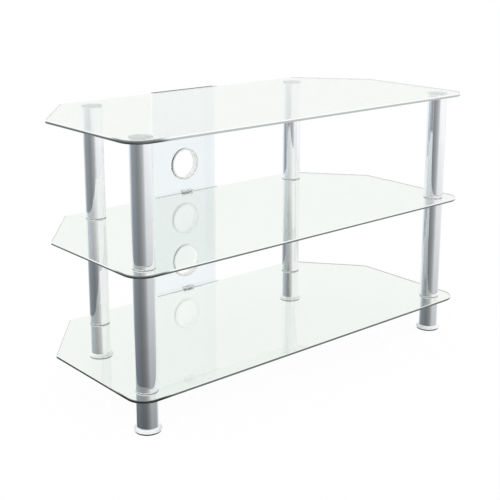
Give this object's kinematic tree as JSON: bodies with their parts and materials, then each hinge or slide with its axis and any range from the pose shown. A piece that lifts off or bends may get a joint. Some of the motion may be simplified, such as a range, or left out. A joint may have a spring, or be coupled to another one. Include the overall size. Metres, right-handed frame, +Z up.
{
  "type": "glass corner stand",
  "caption": "Corner television stand: clear glass shelves with chamfered back corners on chromed tube posts, levelling feet and a glass cable panel with round ports.",
  "frame": {"origin": "on the floor under the middle of the stand's overall box", "axes": "+X to the right seen from the front, +Y to the back, +Z up; the front edge faces -Y"},
  "size_m": [0.8, 0.4182, 0.4986],
  "materials": {
    "shelf_glass": "clear tempered float glass, faint green tint, polished edges",
    "panel_glass": "tempered glass, grey-blue tint, polished edges",
    "chrome": "bright chrome plating on steel",
    "clip_chrome": "satin chrome plating on a die-cast clip",
    "disc_metal": "satin steel, seen through the glass",
    "zinc_steel": "zinc plated steel",
    "plug_nylon": "moulded pale nylon",
    "port_plastic": "glossy white moulding",
    "pad_rubber": "soft dark rubber",
    "liner_rubber": "soft pale rubber"
  },
  "bodies": {
    "stand": {"top_shelf": "shelf_glass", "middle_shelf": "shelf_glass", "bottom_shelf": "shelf_glass", "cable_panel": "panel_glass", "upper_cable_grommet": "port_plastic", "lower_cable_grommet": "port_plastic", "middle_panel_clip": "clip_chrome", "bottom_panel_clip": "clip_chrome", "middle_clip_liner": "liner_rubber", "bottom_clip_liner": "liner_rubber", "middle_panel_screw": "zinc_steel", "bottom_panel_screw": "zinc_steel", "front_left_top_disc": "disc_metal", "front_left_upper_tube": "chrome", "front_left_upper_top_plug": "plug_nylon", "front_left_upper_bottom_plug": "plug_nylon", "front_left_middle_tube": "chrome", "front_left_middle_top_plug": "plug_nylon", "front_left_middle_bottom_plug": "plug_nylon", "front_left_lower_tube": "chrome", "front_left_lower_top_plug": "plug_nylon", "front_left_lower_bottom_plug": "plug_nylon", "front_right_top_disc": "disc_metal", "front_right_upper_tube": "chrome", "front_right_upper_top_plug": "plug_nylon", "front_right_upper_bottom_plug": "plug_nylon", "front_right_middle_tube": "chrome", "front_right_middle_top_plug": "plug_nylon", "front_right_middle_bottom_plug": "plug_nylon", "front_right_lower_tube": "chrome", "front_right_lower_top_plug": "plug_nylon", "front_right_lower_bottom_plug": "plug_nylon", "back_left_top_disc": "disc_metal", "back_left_upper_tube": "chrome", "back_left_upper_top_plug": "plug_nylon", "back_left_upper_bottom_plug": "plug_nylon", "back_left_middle_tube": "chrome", "back_left_middle_top_plug": "plug_nylon", "back_left_middle_bottom_plug": "plug_nylon", "back_left_lower_tube": "chrome", "back_left_lower_top_plug": "plug_nylon", "back_left_lower_bottom_plug": "plug_nylon", "back_right_top_disc": "disc_metal", "back_right_upper_tube": "chrome", "back_right_upper_top_plug": "plug_nylon", "back_right_upper_bottom_plug": "plug_nylon", "back_right_middle_tube": "chrome", "back_right_middle_top_plug": "plug_nylon", "back_right_middle_bottom_plug": "plug_nylon", "back_right_lower_tube": "chrome", "back_right_lower_top_plug": "plug_nylon", "back_right_lower_bottom_plug": "plug_nylon"},
    "front_left_foot": {"front_left_foot": "chrome", "front_left_foot_pad": "pad_rubber"},
    "front_right_foot": {"front_right_foot": "chrome", "front_right_foot_pad": "pad_rubber"},
    "back_left_foot": {"back_left_foot": "chrome", "back_left_foot_pad": "pad_rubber"},
    "back_right_foot": {"back_right_foot": "chrome", "back_right_foot_pad": "pad_rubber"}
  },
  "joints": [
    {"name": "front_left_foot_slide", "type": "slide", "parent": "stand", "child": "front_left_foot", "axis": [0, 0, -1], "range_m": [0, 0.008]},
    {"name": "front_right_foot_slide", "type": "slide", "parent": "stand", "child": "front_right_foot", "axis": [0, 0, -1], "range_m": [0, 0.008]},
    {"name": "back_left_foot_slide", "type": "slide", "parent": "stand", "child": "back_left_foot", "axis": [0, 0, -1], "range_m": [0, 0.008]},
    {"name": "back_right_foot_slide", "type": "slide", "parent": "stand", "child": "back_right_foot", "axis": [0, 0, -1], "range_m": [0, 0.008]}
  ]
}
